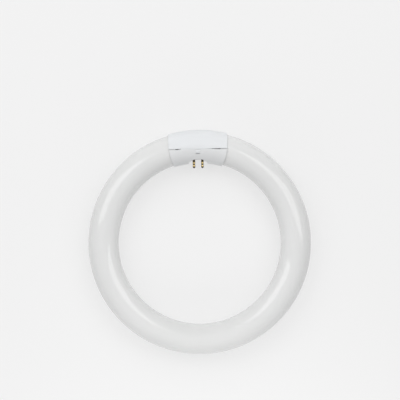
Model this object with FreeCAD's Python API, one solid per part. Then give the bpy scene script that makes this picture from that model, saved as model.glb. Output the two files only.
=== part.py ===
import FreeCAD, Part
import math
import os
from FreeCAD import Vector

# Sizes are in millimetres and angles in degrees. The ring lies flat: its axis is Z, and Z is 0 at the
# underside of the base. The base sits at +Y and its pins point along -Y, at the middle of the ring.

# Glass tube, 1 1/8 in thick, bent to an outside diameter of 8 1/4 in
tube_radius = 14.3
ring_radius = 90.5           # from the ring's axis to the middle of the tube
tube_end_half_gap = 13.0     # from the base's middle to each end of the tube, across
tube_shoulder_radius = 4.0   # rounding of the glass at its two ends

# Stem: the hollow that the glass turns into at each end, with the sealed exhaust tip in its middle
stem_mouth_radius = 8.5
stem_bottom_radius = 4.6
stem_depth = 12.0
exhaust_tip_radius = 1.6
exhaust_tip_length = 8.5
wire_seat_depth = 2.5        # how far a lead is sealed into the glass

# Base shell, in two halves that meet on a plane across the ring's radius
base_clearance = 0.2         # between the glass and the shell
base_wall = 1.2
parting_depth = 2.5          # from the middle of the tube in to the parting plane
end_half_width = 27.5        # from the base's middle to its ends, at the parting plane
end_draft_angle = 1.2        # how far the ends of the outer half lean outwards
inner_end_half_width = 22.3  # the same ends at the inner edge of the ring
inner_end_bulge = 0.75       # how far each inner end is bowed off a straight line
rim_radius = 0.4             # rounding of the base's outer edges at its ends
parting_edge_radius = 0.25   # rounding of the edges that meet at the parting line

# Parting line, open towards the ends
relief_start_left = 15.0     # where the gap opens on each side of the base's middle
relief_start_right = 9.0
relief_peak = 19.0           # where it is widest
relief_depth = 0.75          # how far the inner half's edge draws back there
relief_end_depth = 0.35      # and at the ends of the base

# Recess for the pins, and the plate that carries them
recess_half_width = 8.8
recess_depth = 3.7           # from the base's inner side up to the floor's middle
recess_arch = 2.7            # how much lower the floor's sides are than its middle
recess_side_wall = 1.3
plate_thickness = 2.4        # at the floor's middle

# Contact pins, on the standard rectangle for this base
pin_spacing_x = 7.92
pin_spacing_z = 6.35
pin_radius = 1.2
pin_length = 8.2             # from the floor's middle to the tip
pin_neck_radius = 1.1
pin_neck_reach = 1.5         # from the floor's middle out to the start of the full thickness
pin_groove_depth = 0.2
pin_groove_width = 1.2
pin_groove_height = 3.4      # from the tip to the middle of the groove
pin_flange_radius = 1.9
pin_flange_thickness = 0.8
pin_tail_length = 1.0        # behind the flange
pin_solid_length = 4.5       # from the tip to the bottom of the bore
pin_fit = 0.03               # between the neck and its hole
bore_clearance = 0.1         # between a lead and the pin's bore

# Leads and their sleeves
wire_radius = 0.3
wire_bend_radius = 4.0
wire_seat_clearance = 0.05
sleeve_wall = 0.45
sleeve_clearance = 0.05
sleeve_start = 1.0           # from the bottom of the stem

# Snap latches, one on each face of the base: a tongue on the outer half, its barb in a window
latch_width = 3.8
tongue_thickness = 1.2
tongue_gap = 0.15            # between the tongue and the inner half's wall
tongue_root = 4.0            # how far the tongue runs up inside the outer half
tongue_reach = 5.6           # how far it runs past the parting plane
barb_top = 0.8               # from the parting plane to the barb's catching face
barb_flat = 1.9              # length of the barb's flat face
barb_sink = 0.3              # how far its top edge lies under the shell's surface
barb_slope = 1.45            # length of the gentle slope below the flat
barb_slope_drop = 0.8        # how much lower the slope's end is than its start
barb_ramp = 0.45             # length of the steep slope below that
window_clearance = 0.15      # round the barb
window_depth = 4.75          # from the parting plane to the window's lower edge

# Room that a cut runs past the surface it opens, and the least difference that tells two sizes apart
overrun = 1.0
same_size = 0.001

bore_radius = tube_radius + base_clearance
base_radius = bore_radius + base_wall
mid_height = base_radius
parting = ring_radius - parting_depth
tube_end_angle = math.degrees(math.asin(tube_end_half_gap / ring_radius))
inner_silhouette = ring_radius - base_radius
outer_silhouette = ring_radius + base_radius
base_half_angle = math.degrees(math.asin((end_half_width + 2 * overrun) / inner_silhouette))
floor_middle = inner_silhouette + recess_depth
floor_side = floor_middle - recess_arch
plate_back = floor_middle + plate_thickness
pin_tip = floor_middle - pin_length
pin_rear = plate_back + pin_flange_thickness + pin_tail_length
bore_bottom = pin_tip + pin_solid_length
pin_bore_radius = wire_radius + bore_clearance
sleeve_bore_radius = wire_radius + sleeve_clearance
sleeve_radius = sleeve_bore_radius + sleeve_wall

Z_AXIS = Vector(0, 0, 1)
ORIGIN = Vector(0, 0, 0)
MIRROR_X = Vector(1, 0, 0)


def ring_segment(section_radius, first_angle, sweep):
    """A round bar bent along the ring, from first_angle on through sweep degrees."""
    turn = math.radians(first_angle)
    start = Vector(ring_radius * math.cos(turn), ring_radius * math.sin(turn), mid_height)
    tangent = Vector(-math.sin(turn), math.cos(turn), 0)
    circle = Part.Circle(start, tangent, section_radius).toShape()
    return Part.Face(Part.Wire([circle])).revolve(ORIGIN, Z_AXIS, sweep)


def base_segment(section_radius):
    """The same bar over the stretch that the base covers, and a little more."""
    return ring_segment(section_radius, 90 - base_half_angle, 2 * base_half_angle)


def plan_prism(edges):
    """An outline in the XY plane, raised through the whole height of the base."""
    low = -overrun
    face = Part.Face(Part.Wire(edges))
    face.translate(Vector(0, 0, low))
    return face.extrude(Vector(0, 0, 2 * base_radius + 2 * overrun))


def plan_line(first, last):
    """A straight edge of a plan outline, between two (x, y) points."""
    return Part.makeLine(Vector(*first, 0), Vector(*last, 0))


def plan_arc(first, middle, last):
    """A round edge of a plan outline, through three (x, y) points."""
    return Part.Arc(Vector(*first, 0), Vector(*middle, 0), Vector(*last, 0)).toShape()


def polygon_prism(points):
    """A straight-sided plan outline, raised through the height of the base."""
    ring = points + points[:1]
    return plan_prism([plan_line(a, b) for a, b in zip(ring, ring[1:])])


def mirrored(shape):
    """The same shape on the other side of the base's middle."""
    return shape.mirror(ORIGIN, MIRROR_X)


def end_centre():
    """The middle of the tube's right end."""
    turn = math.radians(tube_end_angle)
    return Vector(ring_radius * math.sin(turn), ring_radius * math.cos(turn), mid_height)


def end_axis():
    """The way that the right end of the tube faces."""
    turn = math.radians(tube_end_angle)
    return Vector(-math.cos(turn), math.sin(turn), 0)


def stem_bottom():
    """The middle of the bottom of the right end's stem."""
    return end_centre() - end_axis() * stem_depth


def lead_levels():
    """Heights of the upper and lower leads over the middle of the tube."""
    return {"upper": pin_spacing_z / 2, "lower": -pin_spacing_z / 2}


def stem_hollow():
    """The flared hollow of the right stem, without its exhaust tip."""
    mouth = end_centre() + end_axis() * overrun
    slope = (stem_mouth_radius - stem_bottom_radius) / stem_depth
    mouth_radius = stem_mouth_radius + slope * overrun
    return Part.makeCone(
        mouth_radius, stem_bottom_radius, stem_depth + overrun, mouth, end_axis() * -1
    )


def exhaust_tip():
    """The sealed stub that stands in the middle of the stem."""
    straight = exhaust_tip_length - exhaust_tip_radius
    root = stem_bottom() - end_axis() * overrun
    stub = Part.makeCylinder(exhaust_tip_radius, straight + overrun, root, end_axis())
    nose = Part.makeSphere(exhaust_tip_radius, stem_bottom() + end_axis() * straight)
    return stub.fuse(nose)


def wire_seats():
    """The holes at the bottom of the right stem that its two leads are sealed into."""
    inward = end_axis() * -1
    mouth = stem_bottom() - inward * overrun
    radius = wire_radius + wire_seat_clearance
    return [
        Part.makeCylinder(radius, wire_seat_depth + overrun, mouth + Z_AXIS * level, inward)
        for level in lead_levels().values()
    ]


def is_tube_end(edge):
    """Whether an edge is the rim of one of the tube's two ends."""
    curve = edge.Curve
    return isinstance(curve, Part.Circle) and abs(curve.Radius - tube_radius) < same_size


def glass_tube():
    """The sealed tube as one filled solid, with round shoulders and a stem at each end."""
    tube = ring_segment(tube_radius, 90 + tube_end_angle, 360 - 2 * tube_end_angle)
    rims = [edge for edge in tube.Edges if is_tube_end(edge)]
    tube = tube.makeFillet(tube_shoulder_radius, rims)
    hollow = stem_hollow().cut(exhaust_tip())
    cuts = [hollow] + wire_seats()
    return tube.cut(cuts + [mirrored(cut) for cut in cuts])


def middle_of(edge):
    """The point halfway along an edge."""
    return edge.valueAt((edge.FirstParameter + edge.LastParameter) / 2)


def is_outside(point):
    """Whether a point lies on the outer surface of the base."""
    off_ring = math.hypot(point.x, point.y) - ring_radius
    off_middle = math.hypot(off_ring, point.z - mid_height)
    return abs(off_middle - base_radius) < same_size


def is_end_rim(edge):
    """Whether an edge runs round the outside of the base at one of its ends."""
    middle = middle_of(edge)
    at_end = abs(middle.x) > inner_end_half_width
    runs_round = edge.BoundBox.ZLength > base_radius / 2
    return is_outside(middle) and at_end and runs_round


def is_parting_edge(edge):
    """Whether an edge runs along the outside of the base beside the parting line."""
    middle = middle_of(edge)
    beside = abs(middle.y - parting) < same_size
    runs_along = edge.BoundBox.XLength > edge.BoundBox.ZLength
    return is_outside(middle) and beside and runs_along


def rounded_edges(half):
    """Half of the base with its outer edges rounded, at its ends and along the parting line."""
    half = half.makeFillet(rim_radius, [edge for edge in half.Edges if is_end_rim(edge)])
    seam = [edge for edge in half.Edges if is_parting_edge(edge)]
    return half.makeFillet(parting_edge_radius, seam)


def outer_outline():
    """Plan of the outer half: from the parting plane outwards, with leaning ends."""
    reach = outer_silhouette + overrun
    lean = (reach - parting) * math.tan(math.radians(end_draft_angle))
    wide = end_half_width + lean
    return polygon_prism(
        [(-end_half_width, parting), (end_half_width, parting), (wide, reach), (-wide, reach)]
    )


def parting_relief(side, start):
    """The thin gap that opens along the parting plane towards one end of the base."""
    reach = end_half_width + overrun
    points = [
        (side * start, parting),
        (side * relief_peak, parting - relief_depth),
        (side * reach, parting - relief_end_depth),
        (side * reach, parting + overrun),
        (side * start, parting + overrun),
    ]
    return polygon_prism(points)


def inner_outline():
    """Plan of the inner half: its ends curve in from the parting plane to the inner edge."""
    corner = math.sqrt(inner_silhouette**2 - inner_end_half_width**2)
    foot = corner - 4 * overrun
    run = Vector(end_half_width - inner_end_half_width, parting - corner, 0)
    outward = Vector(run.y, -run.x, 0).normalize() * inner_end_bulge
    middle_x = (end_half_width + inner_end_half_width) / 2 + outward.x
    middle_y = (parting + corner) / 2 + outward.y
    right = [(end_half_width, parting), (middle_x, middle_y), (inner_end_half_width, corner)]
    left = [(-x, y) for x, y in right]
    right_foot = (inner_end_half_width, foot)
    left_foot = (-inner_end_half_width, foot)
    edges = [
        plan_line(left[0], right[0]),
        plan_arc(*right),
        plan_line(right[2], right_foot),
        plan_line(right_foot, left_foot),
        plan_line(left_foot, left[2]),
        plan_arc(*reversed(left)),
    ]
    return plan_prism(edges)


def pin_block():
    """Plan of what stays solid inside the shell to carry the pins, behind and beside the recess."""
    half = recess_half_width + recess_side_wall
    inner = inner_silhouette - overrun
    return polygon_prism([(-half, inner), (half, inner), (half, plate_back), (-half, plate_back)])


def pin_recess():
    """The recess in the base's inner side, its floor arched and open to both faces."""
    foot = inner_silhouette - 4 * overrun
    half = recess_half_width
    edges = [
        plan_line((-half, foot), (half, foot)),
        plan_line((half, foot), (half, floor_side)),
        plan_arc((half, floor_side), (0, floor_middle), (-half, floor_side)),
        plan_line((-half, floor_side), (-half, foot)),
    ]
    return plan_prism(edges)


def pin_axes():
    """Name, x and height of each pin's axis."""
    sides = {"left": -pin_spacing_x / 2, "right": pin_spacing_x / 2}
    return {
        f"{row}_{side}": (x, mid_height + level)
        for row, level in lead_levels().items()
        for side, x in sides.items()
    }


def pin_hole(x, z):
    """The hole in the plate for one pin's neck."""
    start = Vector(x, floor_side - overrun, z)
    length = plate_back - floor_side + 2 * overrun
    return Part.makeCylinder(pin_neck_radius + pin_fit, length, start, Vector(0, 1, 0))


def latch_line(offset):
    """Height over the tube's middle of the tongue's outer face, offset down from the parting."""
    top = math.sqrt((bore_radius - tongue_gap) ** 2 - parting_depth**2)
    tip = math.sqrt((bore_radius - tongue_gap) ** 2 - (parting_depth + tongue_reach) ** 2)
    return top + (tip - top) * offset / tongue_reach


def latch():
    """The upper tongue and its barb, as a side profile drawn through the latch's width."""
    shell_top = math.sqrt(base_radius**2 - (parting_depth + barb_top) ** 2)
    flat_height = shell_top - barb_sink
    flat_end = barb_top + barb_flat
    slope_end = flat_end + barb_slope
    ramp_end = slope_end + barb_ramp
    root_top = math.sqrt(bore_radius**2 - parting_depth**2) + base_wall / 2
    profile = [
        (-tongue_root, root_top),
        (0, root_top),
        (0, latch_line(0)),
        (barb_top, latch_line(barb_top)),
        (barb_top, flat_height),
        (flat_end, flat_height),
        (slope_end, flat_height - barb_slope_drop),
        (ramp_end, latch_line(ramp_end)),
        (tongue_reach, latch_line(tongue_reach)),
        (tongue_reach, latch_line(tongue_reach) - tongue_thickness),
        (0, latch_line(0) - tongue_thickness),
        (-tongue_root, latch_line(0) - tongue_thickness),
    ]
    points = [Vector(-latch_width / 2, parting - down, mid_height + up) for down, up in profile]
    face = Part.Face(Part.makePolygon(points + points[:1]))
    return face.extrude(Vector(latch_width, 0, 0))


def latch_window():
    """The window that the barb stands in, cut through both faces of the inner half."""
    half = latch_width / 2 + window_clearance
    top = parting - barb_top + window_clearance
    low = parting - window_depth
    return polygon_prism([(-half, low), (half, low), (half, top), (-half, top)])


def lower_copy(shape):
    """The same shape on the underside of the base."""
    return shape.mirror(Vector(0, 0, mid_height), Z_AXIS)


def base_outer_half():
    """Outer half of the base: a plain shell with a latch tongue on each face."""
    bar = base_segment(base_radius).common(outer_outline())
    shell = rounded_edges(bar.cut(base_segment(bore_radius)))
    return shell.fuse([latch(), lower_copy(latch())]).removeSplitter()


def base_inner_half():
    """Inner half of the base: shell, pin plate and recess, pin holes and latch windows."""
    bar = base_segment(base_radius).common(inner_outline())
    shell = rounded_edges(bar.cut(base_segment(bore_radius).cut(pin_block())))
    holes = [pin_hole(x, z) for x, z in pin_axes().values()]
    reliefs = [parting_relief(-1, relief_start_left), parting_relief(1, relief_start_right)]
    return shell.cut([pin_recess(), latch_window()] + holes + reliefs).removeSplitter()


def pin_profile():
    """Half outline of a pin: distance along it from the tip, and radius."""
    nose = pin_radius * math.cos(math.pi / 4)
    groove_start = pin_groove_height - pin_groove_width / 2
    groove_end = groove_start + pin_groove_width
    neck = floor_middle - pin_neck_reach - pin_tip
    flange = plate_back - pin_tip
    tail = flange + pin_flange_thickness
    rear = pin_rear - pin_tip
    outline = [
        (pin_radius, pin_radius),
        (groove_start, pin_radius),
        (pin_groove_height, pin_radius - pin_groove_depth),
        (groove_end, pin_radius),
        (neck, pin_radius),
        (neck, pin_neck_radius),
        (flange, pin_neck_radius),
        (flange, pin_flange_radius),
        (tail, pin_flange_radius),
        (tail, pin_neck_radius),
        (rear, pin_neck_radius),
        (rear, pin_bore_radius),
        (pin_solid_length, pin_bore_radius),
        (pin_solid_length, 0),
        (0, 0),
    ]
    return outline, (pin_radius - nose, nose)


def contact_pin(x, z):
    """A turned brass pin: round nose, ring groove, neck in the plate, flange and bored tail."""
    outline, nose_middle = pin_profile()

    def place(point):
        return Vector(x + point[1], pin_tip + point[0], z)

    edges = [Part.Arc(place((0, 0)), place(nose_middle), place(outline[0])).toShape()]
    edges += [Part.makeLine(place(a), place(b)) for a, b in zip(outline, outline[1:])]
    face = Part.Face(Part.Wire(edges))
    return face.revolve(Vector(x, pin_tip, z), Vector(0, 1, 0), 360)


def lead_route(level, first_inset, last_y):
    """Middle line of a right-hand lead: out of the stem, one bend, and along the pin's axis.

    It starts first_inset along the stem's axis from the stem's bottom and ends at last_y.
    """
    axis = end_axis()
    start = stem_bottom() + axis * first_inset + Z_AXIS * level
    run = (start.x - pin_spacing_x / 2) / -axis.x
    corner = start + axis * run
    last = Vector(corner.x, last_y, corner.z)
    down = (last - corner).normalize()
    turn = axis.getAngle(down)
    cut_back = wire_bend_radius * math.tan(turn / 2)
    first_touch = corner - axis * cut_back
    last_touch = corner + down * cut_back
    inward = (down - axis * axis.dot(down)).normalize()
    centre = first_touch + inward * wire_bend_radius
    middle = centre + (corner - centre).normalize() * wire_bend_radius
    return Part.Wire(
        [
            Part.makeLine(start, first_touch),
            Part.Arc(first_touch, middle, last_touch).toShape(),
            Part.makeLine(last_touch, last),
        ]
    )


def round_sweep(route, radius):
    """A round bar along a route."""
    start = route.Edges[0]
    profile = Part.Circle(start.valueAt(start.FirstParameter), end_axis(), radius).toShape()
    return route.makePipeShell([Part.Wire([profile])], True, True)


def lead_wire(level):
    """A right-hand lead, from its seat in the glass to the bottom of the pin's bore."""
    return round_sweep(lead_route(level, -wire_seat_depth, bore_bottom), wire_radius)


def wire_sleeve(level):
    """The sleeve on a right-hand lead, from inside the stem to the back of the pin."""
    route = lead_route(level, sleeve_start, pin_rear)
    return round_sweep(route, sleeve_radius).cut(round_sweep(route, sleeve_bore_radius))


def right_or_left(shape, side):
    """A right-hand piece as it is, or its mirror image for the left."""
    return shape if side == "right" else mirrored(shape)


def all_nodes():
    """Every piece of the lamp by its node name."""
    nodes = {
        "glass_tube": glass_tube(),
        "base_outer_half": base_outer_half(),
        "base_inner_half": base_inner_half(),
    }
    for place, (x, z) in pin_axes().items():
        nodes["contact_pin_" + place] = contact_pin(x, z)
    for row, level in lead_levels().items():
        for side in ("left", "right"):
            place = f"{row}_{side}"
            nodes["lead_wire_" + place] = right_or_left(lead_wire(level), side)
            nodes["wire_sleeve_" + place] = right_or_left(wire_sleeve(level), side)
    return nodes


os.makedirs("parts", exist_ok=True)
for name, shape in all_nodes().items():
    shape.exportStep(f"parts/{name}.step")
    print(name, round(shape.Volume, 1), "mm3", shape.isValid(), len(shape.Solids))
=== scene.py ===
import math

import bpy
import numpy as np
from mathutils import Matrix, Quaternion, Vector


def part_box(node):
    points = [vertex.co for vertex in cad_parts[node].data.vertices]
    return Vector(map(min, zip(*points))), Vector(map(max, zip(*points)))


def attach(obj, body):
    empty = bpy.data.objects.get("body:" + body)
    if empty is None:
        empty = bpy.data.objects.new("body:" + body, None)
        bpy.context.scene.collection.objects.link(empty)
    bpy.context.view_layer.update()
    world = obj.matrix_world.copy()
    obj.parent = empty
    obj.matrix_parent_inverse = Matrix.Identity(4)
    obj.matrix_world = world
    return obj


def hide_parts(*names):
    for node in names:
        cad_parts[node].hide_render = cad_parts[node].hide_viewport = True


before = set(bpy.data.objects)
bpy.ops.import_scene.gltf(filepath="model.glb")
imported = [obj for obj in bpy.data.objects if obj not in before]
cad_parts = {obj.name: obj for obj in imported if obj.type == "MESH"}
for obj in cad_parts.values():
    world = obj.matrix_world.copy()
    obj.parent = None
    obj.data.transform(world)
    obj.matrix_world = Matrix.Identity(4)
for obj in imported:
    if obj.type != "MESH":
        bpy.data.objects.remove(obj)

mm = 0.001
white = (1, 1, 1, 1)
colourA, colourB, colourOut = 6, 7, 2    # a Mix node's two colour inputs and its colour output
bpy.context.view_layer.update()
print("frame loaded:", len(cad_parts), "nodes")


def toLinear(hexColour):
    # sRGB to linear light: c / 12.92 where it is darkest, and above that
    # ((c + 0.055) / 1.055) to the power 2.4
    parts = np.array([int(hexColour[i:i + 2], 16) for i in (1, 3, 5)]) / 255
    linear = np.where(parts <= 0.04045, parts / 12.92, ((parts + 0.055) / 1.055) ** 2.4)
    return (*linear.tolist(), 1.0)


def addNode(tree, kind, inputs, **settings):
    # one node: its settings, then each input as a value or as a link from another node's socket
    node = tree.nodes.new("ShaderNode" + kind)
    for key, value in settings.items():
        setattr(node, key, value)
    for socket, value in inputs.items():
        if isinstance(value, bpy.types.NodeSocket):
            tree.links.new(value, node.inputs[socket])
        else:
            node.inputs[socket].default_value = value
    return node


def newMaterial(name):
    material = bpy.data.materials.new(name)
    material.use_nodes = True
    material.node_tree.nodes.clear()
    return material, material.node_tree


def circleArc(centre, radius, startDegrees, endDegrees, count):
    # points of an arc: centre plus radius times (cosine, sine) of evenly spaced angles
    turn = np.radians(np.linspace(startDegrees, endDegrees, count))
    return np.column_stack([centre[0] + radius * np.cos(turn), centre[1] + radius * np.sin(turn)])


def tubeMesh(name, centres, sides, ups, radii, around):
    # a circle carried along a path: ring i has its points at
    # centres[i] + radii[i] * (cos v * sides[i] + sin v * ups[i]) for v once round,
    # quads join each ring to the next, and one point closes each end
    v = np.linspace(0, 2 * np.pi, around, endpoint=False)
    across = sides[:, None, :] * np.cos(v)[None, :, None]
    upward = ups[:, None, :] * np.sin(v)[None, :, None]
    wall = centres[:, None, :] + radii[:, None, None] * (across + upward)
    points = np.vstack([wall.reshape(-1, 3), centres[:1], centres[-1:]])
    ring, step = np.meshgrid(np.arange(len(centres) - 1), np.arange(around), indexing="ij")
    after = (step + 1) % around
    low, high = ring * around, (ring + 1) * around
    quads = np.stack([low + step, low + after, high + after, high + step], axis=-1).reshape(-1, 4)
    turn, turned = np.arange(around), (np.arange(around) + 1) % around
    first, last = len(points) - 2, len(points) - 1
    top = (len(centres) - 1) * around
    firstCap = np.column_stack([turned, turn, np.full(around, first)])
    lastCap = np.column_stack([top + turn, top + turned, np.full(around, last)])
    mesh = bpy.data.meshes.new(name)
    mesh.from_pydata(points.tolist(), [], quads.tolist() + firstCap.tolist() + lastCap.tolist())
    mesh.update()
    return mesh


def facingOut(mesh):
    # the sum of p0 . (p1 x p2) over the triangles is six times the volume, negative if they face in
    mesh.calc_loop_triangles()
    corners = np.empty(len(mesh.loop_triangles) * 3, dtype=np.int64)
    mesh.loop_triangles.foreach_get("vertices", corners)
    places = np.empty(len(mesh.vertices) * 3)
    mesh.vertices.foreach_get("co", places)
    p = places.reshape(-1, 3)[corners.reshape(-1, 3)]
    if np.einsum("ij,ij->i", p[:, 0], np.cross(p[:, 1], p[:, 2])).sum() < 0:
        mesh.flip_normals()
    return mesh


def addPiece(name, mesh, material, node, sharpDegrees=35):
    # a finished piece sits at the origin, rides on the lamp and stands for its node
    piece = bpy.data.objects.new(name, facingOut(mesh))
    bpy.context.scene.collection.objects.link(piece)
    mesh.materials.append(material)
    mesh.shade_smooth()
    mesh.set_sharp_from_angle(angle=math.radians(sharpDegrees))
    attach(piece, "root")
    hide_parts(node)


def dressNode(node, material):
    # a node that keeps its CAD mesh gets a better material
    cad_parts[node].material_slots[0].material = material


# Camera: it looks straight down on the lying ring, as the photograph looks at it from in front
view = {
    "height": 1.5,              # over the middle of the tube, in metres
    "frameWidth": 376.6 * mm,   # what the frame takes in at that height: 400 pixels of 0.9414 mm
    "centreX": 0.28 * mm,       # the frame's centre from the ring's middle, along the frame
    "centreY": 40.2 * mm,
    "roll": 1.1,                # the whole lamp leans left by this much, in degrees
}


def addCamera():
    # right and up are the frame's own directions on the floor, turned by the roll, and the lens
    # makes the frame as wide as it has to be at the camera's height
    low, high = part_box("glass_tube")
    roll = math.radians(view["roll"])
    right = Vector((math.cos(roll), -math.sin(roll), 0))
    up = Vector((math.sin(roll), math.cos(roll), 0))
    away = Vector((0, 0, 1))
    aim = right * view["centreX"] + up * view["centreY"] + away * (low.z + high.z) / 2
    data = bpy.data.cameras.new("camera")
    camera = bpy.data.objects.new("camera", data)
    bpy.context.scene.collection.objects.link(camera)
    turn = Matrix((right, up, away)).transposed().to_4x4()
    camera.matrix_world = Matrix.Translation(aim + away * view["height"]) @ turn
    data.lens = data.sensor_width * view["height"] / view["frameWidth"]
    bpy.context.scene.camera = camera


addCamera()
print("camera placed")


# Glass tube: soda-lime glass, drawn and bent hot, coated inside with baked phosphor powder.
# The eye gets a dense, even white with no grain, under a thin wet-looking shine from the clear
# outside.
tube = {
    "colour": "#e1e1e1",
    "thinColour": "#dbdcdb",    # where the coating is a little thinner
    "cloudSize": 45 * mm,       # width of those soft clouds
    "cloudDetail": 3.0,
    "powderRoughness": 0.75,
    "powderIor": 1.45,
    "powderShine": 0.2,         # low, as the powder shines only where it lies against the glass
    "bareShadeColour": "#343836",    # clear glass where the ends are wiped, painted dark as shade of the unlit inside
    "bareReach": 21.3 * mm,     # from the base's middle to the edge of the coating
    "bareFade": 0.6 * mm,
    "glassIor": 1.52,
    "glassRoughness": 0.04,
    "shoulder": 4.0 * mm,       # rounding at the ends
    "endHalfGap": 13.0 * mm,    # from the base's middle to each end
    "mouth": 8.5 * mm,          # the stem's hollow: its mouth, its bottom and its depth
    "mouthRim": 0.5 * mm,
    "bottom": 4.6 * mm,
    "depth": 12.0 * mm,
    "tip": 1.6 * mm,            # radius and length of the sealed exhaust tip
    "tipLength": 8.5 * mm,
    "tipFoot": 0.4 * mm,        # how wide the tip flares where it meets the bottom
    "tipStart": 3,              # degrees of its dome that one point closes
    "tipSteps": 8,
    "hollowSteps": 14,
    "rimSteps": 6,
    "shoulderSteps": 14,
    "alongSteps": 288,          # rings along the bend, and points round each ring
    "around": 96,
}


def glassMaterial():
    # soft clouds of thinner coating, bare glass at the ends painted dark as shade, and a clear coat
    material, tree = newMaterial("sodaLimeGlassPhosphorCoated")
    place = addNode(tree, "TexCoord", {})
    clouds = addNode(tree, "TexNoise", {
        "Vector": place.outputs["Object"], "Scale": 1 / tube["cloudSize"],
        "Detail": tube["cloudDetail"]})
    powder = addNode(tree, "Mix", {
        "Factor": clouds.outputs["Fac"],
        colourA: toLinear(tube["thinColour"]), colourB: toLinear(tube["colour"])}, data_type="RGBA")
    # the wiped ends, painted dark as shade: within bareReach of the base's middle, on its side
    axes = addNode(tree, "SeparateXYZ", {"Vector": place.outputs["Object"]})
    aside = addNode(tree, "Math", {0: axes.outputs["X"]}, operation="ABSOLUTE")
    coated = addNode(tree, "MapRange", {
        "Value": aside.outputs[0],
        "From Min": tube["bareReach"] - tube["bareFade"], "From Max": tube["bareReach"]})
    farSide = addNode(tree, "Math", {0: axes.outputs["Y"], 1: 0.0}, operation="LESS_THAN")
    cover = addNode(tree, "Math", {
        0: coated.outputs["Result"], 1: farSide.outputs[0]}, operation="MAXIMUM")
    # painted shade: the bare ends take the dark colour of the unlit inside
    shade = addNode(tree, "Mix", {
        "Factor": cover.outputs[0], colourA: toLinear(tube["bareShadeColour"]),
        colourB: powder.outputs[colourOut]}, data_type="RGBA")
    skin = addNode(tree, "BsdfPrincipled", {
        "Base Color": shade.outputs[colourOut], "Roughness": tube["powderRoughness"],
        "IOR": tube["powderIor"], "Specular IOR Level": tube["powderShine"],
        "Coat Weight": 1.0, "Coat Roughness": tube["glassRoughness"], "Coat IOR": tube["glassIor"]})
    addNode(tree, "OutputMaterial", {"Surface": skin.outputs["BSDF"]})
    return material


def stemProfile(radius):
    # one end of the tube as (distance out of the end plane, radius), from the exhaust tip's point
    # to the full tube: the tip's dome and side, the flared hollow, the rolled mouth, the flat end
    # and the round shoulder
    depth, tip, rim, shoulder = tube["depth"], tube["tip"], tube["mouthRim"], tube["shoulder"]
    domeMiddle = -depth + tube["tipLength"] - tip
    dome = circleArc((domeMiddle, 0), tip, tube["tipStart"], 90, tube["tipSteps"])
    foot = np.array([[-depth + tube["tipFoot"], tip], [-depth, tip + tube["tipFoot"]]])
    hollow = np.linspace([-depth, tube["bottom"]], [-rim, tube["mouth"]], tube["hollowSteps"])
    mouth = circleArc((-rim, tube["mouth"] + rim), rim, -90, 0, tube["rimSteps"])[1:]
    corner = circleArc((-shoulder, radius - shoulder), shoulder, 0, 90, tube["shoulderSteps"])
    return np.vstack([dome, foot, hollow, mouth, corner])


def glassTube():
    # the profile of each end is carried on the straight line out of the tube's end where it is
    # inside the stem, and on the ring itself elsewhere; between the ends the full circle is
    # carried round the ring
    low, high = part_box("glass_tube")
    radius = (high.z - low.z) / 2
    ringRadius = (high.x - low.x) / 2 - radius
    height = (high.z + low.z) / 2
    gap = math.asin(tube["endHalfGap"] / ringRadius)
    profile = stemProfile(radius)
    outside = np.arange(len(profile)) >= len(profile) - tube["shoulderSteps"]
    angle = gap - np.where(outside, profile[:, 0], 0) / ringRadius
    straight = np.where(outside, 0, profile[:, 0])
    middle = np.linspace(angle[-1], 2 * np.pi - angle[-1], tube["alongSteps"])[1:-1]
    phi = np.concatenate([angle, middle, 2 * np.pi - angle[::-1]])
    out = np.concatenate([straight, np.zeros(len(middle)), -straight[::-1]])
    radii = np.concatenate([profile[:, 1], np.full(len(middle), radius), profile[::-1, 1]])
    sides = np.column_stack([np.sin(phi), np.cos(phi), np.zeros(len(phi))])
    along = np.column_stack([-np.cos(phi), np.sin(phi), np.zeros(len(phi))])
    centres = sides * ringRadius + along * out[:, None] + np.array([0, 0, height])
    ups = np.broadcast_to(np.array([0.0, 0.0, 1.0]), sides.shape)
    mesh = tubeMesh("glassTube", centres, sides, ups, radii, tube["around"])
    addPiece("glass_tube_bent", mesh, glassMaterial(), "glass_tube")


glassTube()
print("glass tube made")


# Base: white PBT, injection moulded in two halves. The eye gets a dense white with a soft satin
# shine and a very fine tool texture, a little cooler and brighter than the coated glass. The inner
# half is a darker copy of the same white, as painted shade on the side turned from the light.
base = {
    "outerColour": "#e1e3e5",
    # the same plastic, made darker as painted shade
    "innerShadedColour": "#dddedf",
    "ior": 1.55,
    "roughness": 0.5,
    "grain": 0.4 * mm,          # tool texture, coarser than the real 0.05 mm, to show close up
    "grainDepth": 0.01 * mm,
    "grainDetail": 2.0,
    "grainFineness": 0.6,
    "grainStrength": 0.5,
}


def plasticMaterial(name, colour):
    # one colour all over, with the tool's texture as a fine bump
    material, tree = newMaterial(name)
    place = addNode(tree, "TexCoord", {})
    grain = addNode(tree, "TexNoise", {
        "Vector": place.outputs["Object"], "Scale": 1 / base["grain"],
        "Detail": base["grainDetail"], "Roughness": base["grainFineness"]})
    bump = addNode(tree, "Bump", {
        "Strength": base["grainStrength"], "Distance": base["grainDepth"],
        "Height": grain.outputs["Fac"]})
    skin = addNode(tree, "BsdfPrincipled", {
        "Base Color": toLinear(colour), "Roughness": base["roughness"], "IOR": base["ior"],
        "Normal": bump.outputs["Normal"]})
    addNode(tree, "OutputMaterial", {"Surface": skin.outputs["BSDF"]})
    return material


dressNode("base_outer_half", plasticMaterial("mouldedPbtOuter", base["outerColour"]))
# the inner half: the same plastic with painted shade
dressNode("base_inner_half", plasticMaterial("mouldedPbtInnerShaded", base["innerShadedColour"]))
print("base dressed")
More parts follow.
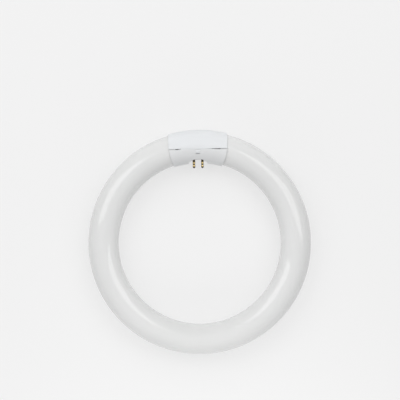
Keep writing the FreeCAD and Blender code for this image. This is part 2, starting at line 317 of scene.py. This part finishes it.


# Contact pins: brass, turned and lightly polished. The eye gets a warm yellow metal whose fine
# turning rings spread its highlights along the pin, with a painted dark reflection at its tip
# and painted shade in its groove and at its root.
pin = {
    "radius": 1.2 * mm,
    "neckRadius": 1.1 * mm,
    "neckStart": 6.7 * mm,        # from the tip, as the places below are
    "grooveMiddle": 3.4 * mm,
    "grooveWidth": 1.2 * mm,
    "grooveDepth": 0.2 * mm,
    "flangeRadius": 1.9 * mm,
    "flangeStart": 10.6 * mm,
    "flangeEnd": 11.4 * mm,
    "edge": 0.12 * mm,            # rounding of the turned edges
    "noseEnd": 177,               # degrees: one point closes the rest of the round nose
    "noseSteps": 16,
    "grooveSteps": 17,
    "edgeSteps": 5,
    "around": 64,
    "colour": "#dccb9f",
    "dullColour": "#b9a26d",
    "roughness": 0.12,
    "stainSize": 1.5 * mm,
    "stainDetail": 3.0,
    "turningPitch": 0.12 * mm,
    "turningDepth": 0.004 * mm,
    "turningStrength": 0.2,
    "paintedShadeColour": "#1f170a",   # painted dark reflection at the tip, painted shade in the groove and at the root
    "paintedShadeCover": 0.92,
    "paintedShadeRoughness": 0.45,
    "paintedShadeZones": (             # start, end and width of the fading edge, in mm from the tip
        # painted dark reflection at the tip, painted shade in the groove, painted shade at the root
        (-1.0, 1.2, 0.8),
        (3.0, 3.8, 0.5),
        (5.9, 20.0, 1.1)),
}


def brassMaterial():
    # the turning rings are a sine along the pin, and the painted dark reflection and painted shade
    # cover whichever of their zones a place is in, measured from the tip of the node's box
    material, tree = newMaterial("turnedBrass")
    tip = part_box("contact_pin_upper_left")[0].y
    place = addNode(tree, "TexCoord", {})
    axes = addNode(tree, "SeparateXYZ", {"Vector": place.outputs["Object"]})
    rings = addNode(tree, "Math", {
        0: axes.outputs["Y"], 1: 2 * math.pi / pin["turningPitch"]}, operation="MULTIPLY")
    wave = addNode(tree, "Math", {0: rings.outputs[0]}, operation="SINE")
    bump = addNode(tree, "Bump", {
        "Strength": pin["turningStrength"], "Distance": pin["turningDepth"],
        "Height": wave.outputs[0]})
    stains = addNode(tree, "TexNoise", {
        "Vector": place.outputs["Object"], "Scale": 1 / pin["stainSize"],
        "Detail": pin["stainDetail"]})
    bright = addNode(tree, "Mix", {
        "Factor": stains.outputs["Fac"],
        colourA: toLinear(pin["colour"]), colourB: toLinear(pin["dullColour"])}, data_type="RGBA")
    cover = 0.0
    # each zone of painted dark reflection (tip) and painted shade (groove, root) fades in over its
    # edge
    for start, end, fade in pin["paintedShadeZones"]:
        middle, half = tip + (start + end) / 2 * mm, (end - start) / 2 * mm
        away = addNode(tree, "Math", {0: axes.outputs["Y"], 1: middle}, operation="SUBTRACT")
        off = addNode(tree, "Math", {0: away.outputs[0]}, operation="ABSOLUTE")
        zone = addNode(tree, "MapRange", {
            "Value": off.outputs[0], "From Min": half, "From Max": half + fade * mm,
            "To Min": 1.0, "To Max": 0.0})
        most = addNode(tree, "Math", {0: cover, 1: zone.outputs["Result"]}, operation="MAXIMUM")
        cover = most.outputs[0]
    part = addNode(tree, "Math", {0: cover, 1: pin["paintedShadeCover"]}, operation="MULTIPLY")
    shade = addNode(tree, "Mix", {
        "Factor": part.outputs[0], colourA: bright.outputs[colourOut],
        colourB: toLinear(pin["paintedShadeColour"])}, data_type="RGBA")
    rough = addNode(tree, "MapRange", {
        "Value": cover, "To Min": pin["roughness"], "To Max": pin["paintedShadeRoughness"]})
    skin = addNode(tree, "BsdfPrincipled", {
        "Base Color": shade.outputs[colourOut], "Metallic": 1.0,
        "Roughness": rough.outputs["Result"], "Normal": bump.outputs["Normal"]})
    addNode(tree, "OutputMaterial", {"Surface": skin.outputs["BSDF"]})
    return material


def pinProfile(length):
    # (distance from the tip, radius): half a ball, the shank with a cosine-shaped ring groove,
    # the neck in the plate, the flange and the tail
    r, neckRadius, flangeRadius = pin["radius"], pin["neckRadius"], pin["flangeRadius"]
    neckStart, flangeStart, flangeEnd = pin["neckStart"], pin["flangeStart"], pin["flangeEnd"]
    e, edgeSteps = pin["edge"], pin["edgeSteps"]
    nose = circleArc((r, 0), r, pin["noseEnd"], 90, pin["noseSteps"])
    u = np.linspace(-0.5, 0.5, pin["grooveSteps"])
    groove = np.column_stack([
        pin["grooveMiddle"] + u * pin["grooveWidth"],
        r - pin["grooveDepth"] * 0.5 * (1 + np.cos(2 * np.pi * u))])
    shoulder = circleArc((neckStart - e, r - e), e, 90, 0, edgeSteps)
    neck = np.array([[neckStart, neckRadius], [flangeStart, neckRadius]])
    flange = np.vstack([
        circleArc((flangeStart + e, flangeRadius - e), e, 180, 90, edgeSteps),
        circleArc((flangeEnd - e, flangeRadius - e), e, 90, 0, edgeSteps)])
    tail = np.array([[flangeEnd, neckRadius], [length, neckRadius]])
    return np.vstack([nose, groove, shoulder, neck, flange, tail])


def contactPin(node, material):
    # the profile turned about the pin's own axis, along Y through the middle of its node's box
    low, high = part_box(node)
    profile = pinProfile(high.y - low.y)
    count = len(profile)
    centres = np.column_stack([
        np.full(count, (low.x + high.x) / 2),
        low.y + profile[:, 0],
        np.full(count, (low.z + high.z) / 2)])
    sides = np.broadcast_to(np.array([1.0, 0.0, 0.0]), (count, 3))
    ups = np.broadcast_to(np.array([0.0, 0.0, 1.0]), (count, 3))
    mesh = tubeMesh(node, centres, sides, ups, profile[:, 1], pin["around"])
    addPiece(node + "_turned", mesh, material, node)


brass = brassMaterial()
for node in sorted(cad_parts):
    if node.startswith("contact_pin"):
        contactPin(node, brass)
print("contact pins made")


# Lead wires: drawn nickel-plated wire. The eye gets a grey, slightly yellow metal, clouded by
# dull spots.
lead = {
    "colour": "#b9b4a8",
    "dullColour": "#8f897c",
    "spotSize": 0.8 * mm,
    "spotDetail": 4.0,
    "spotFineness": 0.6,
    "roughness": 0.28,
    "dullRoughness": 0.5,
}


def nickelMaterial():
    # one noise makes the dull spots both darker and rougher
    material, tree = newMaterial("drawnNickelWire")
    place = addNode(tree, "TexCoord", {})
    spots = addNode(tree, "TexNoise", {
        "Vector": place.outputs["Object"], "Scale": 1 / lead["spotSize"],
        "Detail": lead["spotDetail"], "Roughness": lead["spotFineness"]})
    shade = addNode(tree, "Mix", {
        "Factor": spots.outputs["Fac"],
        colourA: toLinear(lead["colour"]), colourB: toLinear(lead["dullColour"])}, data_type="RGBA")
    rough = addNode(tree, "MapRange", {
        "Value": spots.outputs["Fac"],
        "To Min": lead["roughness"], "To Max": lead["dullRoughness"]})
    skin = addNode(tree, "BsdfPrincipled", {
        "Base Color": shade.outputs[colourOut], "Metallic": 1.0,
        "Roughness": rough.outputs["Result"]})
    addNode(tree, "OutputMaterial", {"Surface": skin.outputs["BSDF"]})
    return material


# Wire sleeves: glass-fibre yarn, woven into a sleeve. The eye gets a matt cream with a small
# crossed weave.
sleeve = {
    "colour": "#e2ddcd",
    "gapColour": "#b3ab95",
    "yarnPitch": 0.6 * mm,      # coarser than the real 0.3 mm, so that the weave shows close up
    "yarnDepth": 0.03 * mm,
    "yarnTurn": 45,             # degrees that each set of yarns leans, one to each side
    "roughness": 0.85,
}


def wovenMaterial():
    # two sets of bands cross at right angles, and the higher of the two is the yarn on top;
    # at a scale of 1 a wave texture's bands are pi / 10 of a metre apart
    material, tree = newMaterial("wovenGlassFibre")
    place = addNode(tree, "TexCoord", {})
    yarn = 0.0
    for lean in (sleeve["yarnTurn"], -sleeve["yarnTurn"]):
        turned = addNode(tree, "Mapping", {
            "Vector": place.outputs["Object"],
            "Rotation": (0, math.radians(lean), math.radians(lean))})
        band = addNode(tree, "TexWave", {
            "Vector": turned.outputs["Vector"], "Scale": math.pi / 10 / sleeve["yarnPitch"]})
        higher = addNode(tree, "Math", {0: yarn, 1: band.outputs["Fac"]}, operation="MAXIMUM")
        yarn = higher.outputs[0]
    shade = addNode(tree, "Mix", {
        "Factor": yarn, colourA: toLinear(sleeve["gapColour"]),
        colourB: toLinear(sleeve["colour"])}, data_type="RGBA")
    bump = addNode(tree, "Bump", {
        "Strength": 1.0, "Distance": sleeve["yarnDepth"], "Height": yarn})
    skin = addNode(tree, "BsdfPrincipled", {
        "Base Color": shade.outputs[colourOut], "Roughness": sleeve["roughness"],
        "Normal": bump.outputs["Normal"]})
    addNode(tree, "OutputMaterial", {"Surface": skin.outputs["BSDF"]})
    return material


nickel, weave = nickelMaterial(), wovenMaterial()
for node in sorted(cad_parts):
    if node.startswith("lead_wire"):
        dressNode(node, nickel)
    if node.startswith("wire_sleeve"):
        dressNode(node, weave)
print("leads and sleeves dressed")


# Floor: a plain pale surface that the lamp lies on, with its shadow left in
stage = {
    "size": 12.0,             # in metres
    "colour": "#e1e1e1",
    "seenShare": 0.68,        # how much of the floor that is seen is a glow with no shadow in it
    "seenStrength": 0.943,    # and how bright that glow is
}


def seenRays(tree):
    # 1 for rays from the camera, off a shiny surface or through glass, 0 for those that only light
    ray = addNode(tree, "LightPath", {})
    seen = 0.0
    for kind in ("Is Camera Ray", "Is Glossy Ray", "Is Transmission Ray"):
        either = addNode(tree, "Math", {0: seen, 1: ray.outputs[kind]}, operation="MAXIMUM")
        seen = either.outputs[0]
    return seen


def addFloor():
    # a matt square, mixed with an even glow where it is seen
    half = stage["size"] / 2
    corners = [(-half, -half, 0), (half, -half, 0), (half, half, 0), (-half, half, 0)]
    mesh = bpy.data.meshes.new("floor")
    mesh.from_pydata(corners, [], [(0, 1, 2, 3)])
    floor = bpy.data.objects.new("floor", mesh)
    bpy.context.scene.collection.objects.link(floor)
    material, tree = newMaterial("paleFloor")
    matt = addNode(tree, "BsdfDiffuse", {"Color": toLinear(stage["colour"])})
    glow = addNode(tree, "Emission", {"Color": white, "Strength": stage["seenStrength"]})
    share = addNode(tree, "Math", {0: seenRays(tree), 1: stage["seenShare"]}, operation="MULTIPLY")
    mix = addNode(tree, "MixShader", {
        0: share.outputs[0], 1: matt.outputs["BSDF"], 2: glow.outputs["Emission"]})
    addNode(tree, "OutputMaterial", {"Surface": mix.outputs["Shader"]})
    mesh.materials.append(material)


addFloor()


# Studio lamps and world: soft boxes round the ring, each by its place, the point it faces and its
# roll about that line, in metres and degrees. The two that are mirrored give the glass its streaks,
# and the fills only light it.
lamps = {
    "leftBox": {
        "place": (-0.670, 0.388, 0.946), "faces": (-0.064, -0.342, 0.016), "roll": 32.5,
        "wide": 0.60, "tall": 0.84, "watts": 3.2, "mirrored": True},
    "rightBox": {
        "place": (0.590, 0.280, 1.040), "faces": (-0.266, -0.397, 0.016), "roll": -36.4,
        "wide": 0.60, "tall": 0.90, "watts": 3.4, "mirrored": True},
    "backFill": {
        "place": (0, 0.85, 0.85), "faces": (0, 0, 0.016), "roll": 0,
        "wide": 1.2, "tall": 0.8, "watts": 4.9, "mirrored": False},
    "frontFill": {
        "place": (0, -0.32, 0.16), "faces": (0, -0.1, 0.016), "roll": 0,
        "wide": 0.40, "tall": 0.10, "watts": 0.34, "mirrored": False},
    "leftFill": {
        "place": (-0.75, -0.10, 0.16), "faces": (-0.09, 0, 0.016), "roll": 0,
        "wide": 0.40, "tall": 0.12, "watts": 0.45, "mirrored": False},
}
world = {
    "strength": 0.4,    # the soft grey that lights the lamp from all round
    "seen": 0.85,       # and the pale background that stands in for it where it is seen
}


def addLamp(name, lamp):
    # a lamp shines along its own -Z, so its Z points back from what it faces
    place = Vector(lamp["place"])
    data = bpy.data.lights.new(name, "AREA")
    data.shape = "RECTANGLE"
    data.size, data.size_y = lamp["wide"], lamp["tall"]
    data.energy = lamp["watts"]
    light = bpy.data.objects.new(name, data)
    bpy.context.scene.collection.objects.link(light)
    light.location = place
    light.rotation_mode = "QUATERNION"
    roll = Quaternion((0, 0, 1), math.radians(lamp["roll"]))
    light.rotation_quaternion = (place - Vector(lamp["faces"])).to_track_quat("Z", "Y") @ roll
    light.visible_camera = False
    light.visible_glossy = lamp["mirrored"]


def addWorld():
    # the pale background where it is seen, and the softer grey for all other rays
    sky = bpy.data.worlds.new("studio")
    bpy.context.scene.world = sky
    sky.use_nodes = True
    tree = sky.node_tree
    tree.nodes.clear()
    soft = addNode(tree, "Background", {"Color": white, "Strength": world["strength"]})
    pale = addNode(tree, "Background", {"Color": white, "Strength": world["seen"]})
    mix = addNode(tree, "MixShader", {0: seenRays(tree), 1: soft.outputs[0], 2: pale.outputs[0]})
    addNode(tree, "OutputWorld", {"Surface": mix.outputs["Shader"]})


for lampName, lampSizes in lamps.items():
    addLamp(lampName, lampSizes)
addWorld()
bpy.context.scene.view_settings.view_transform = "Standard"
print("stage lit")
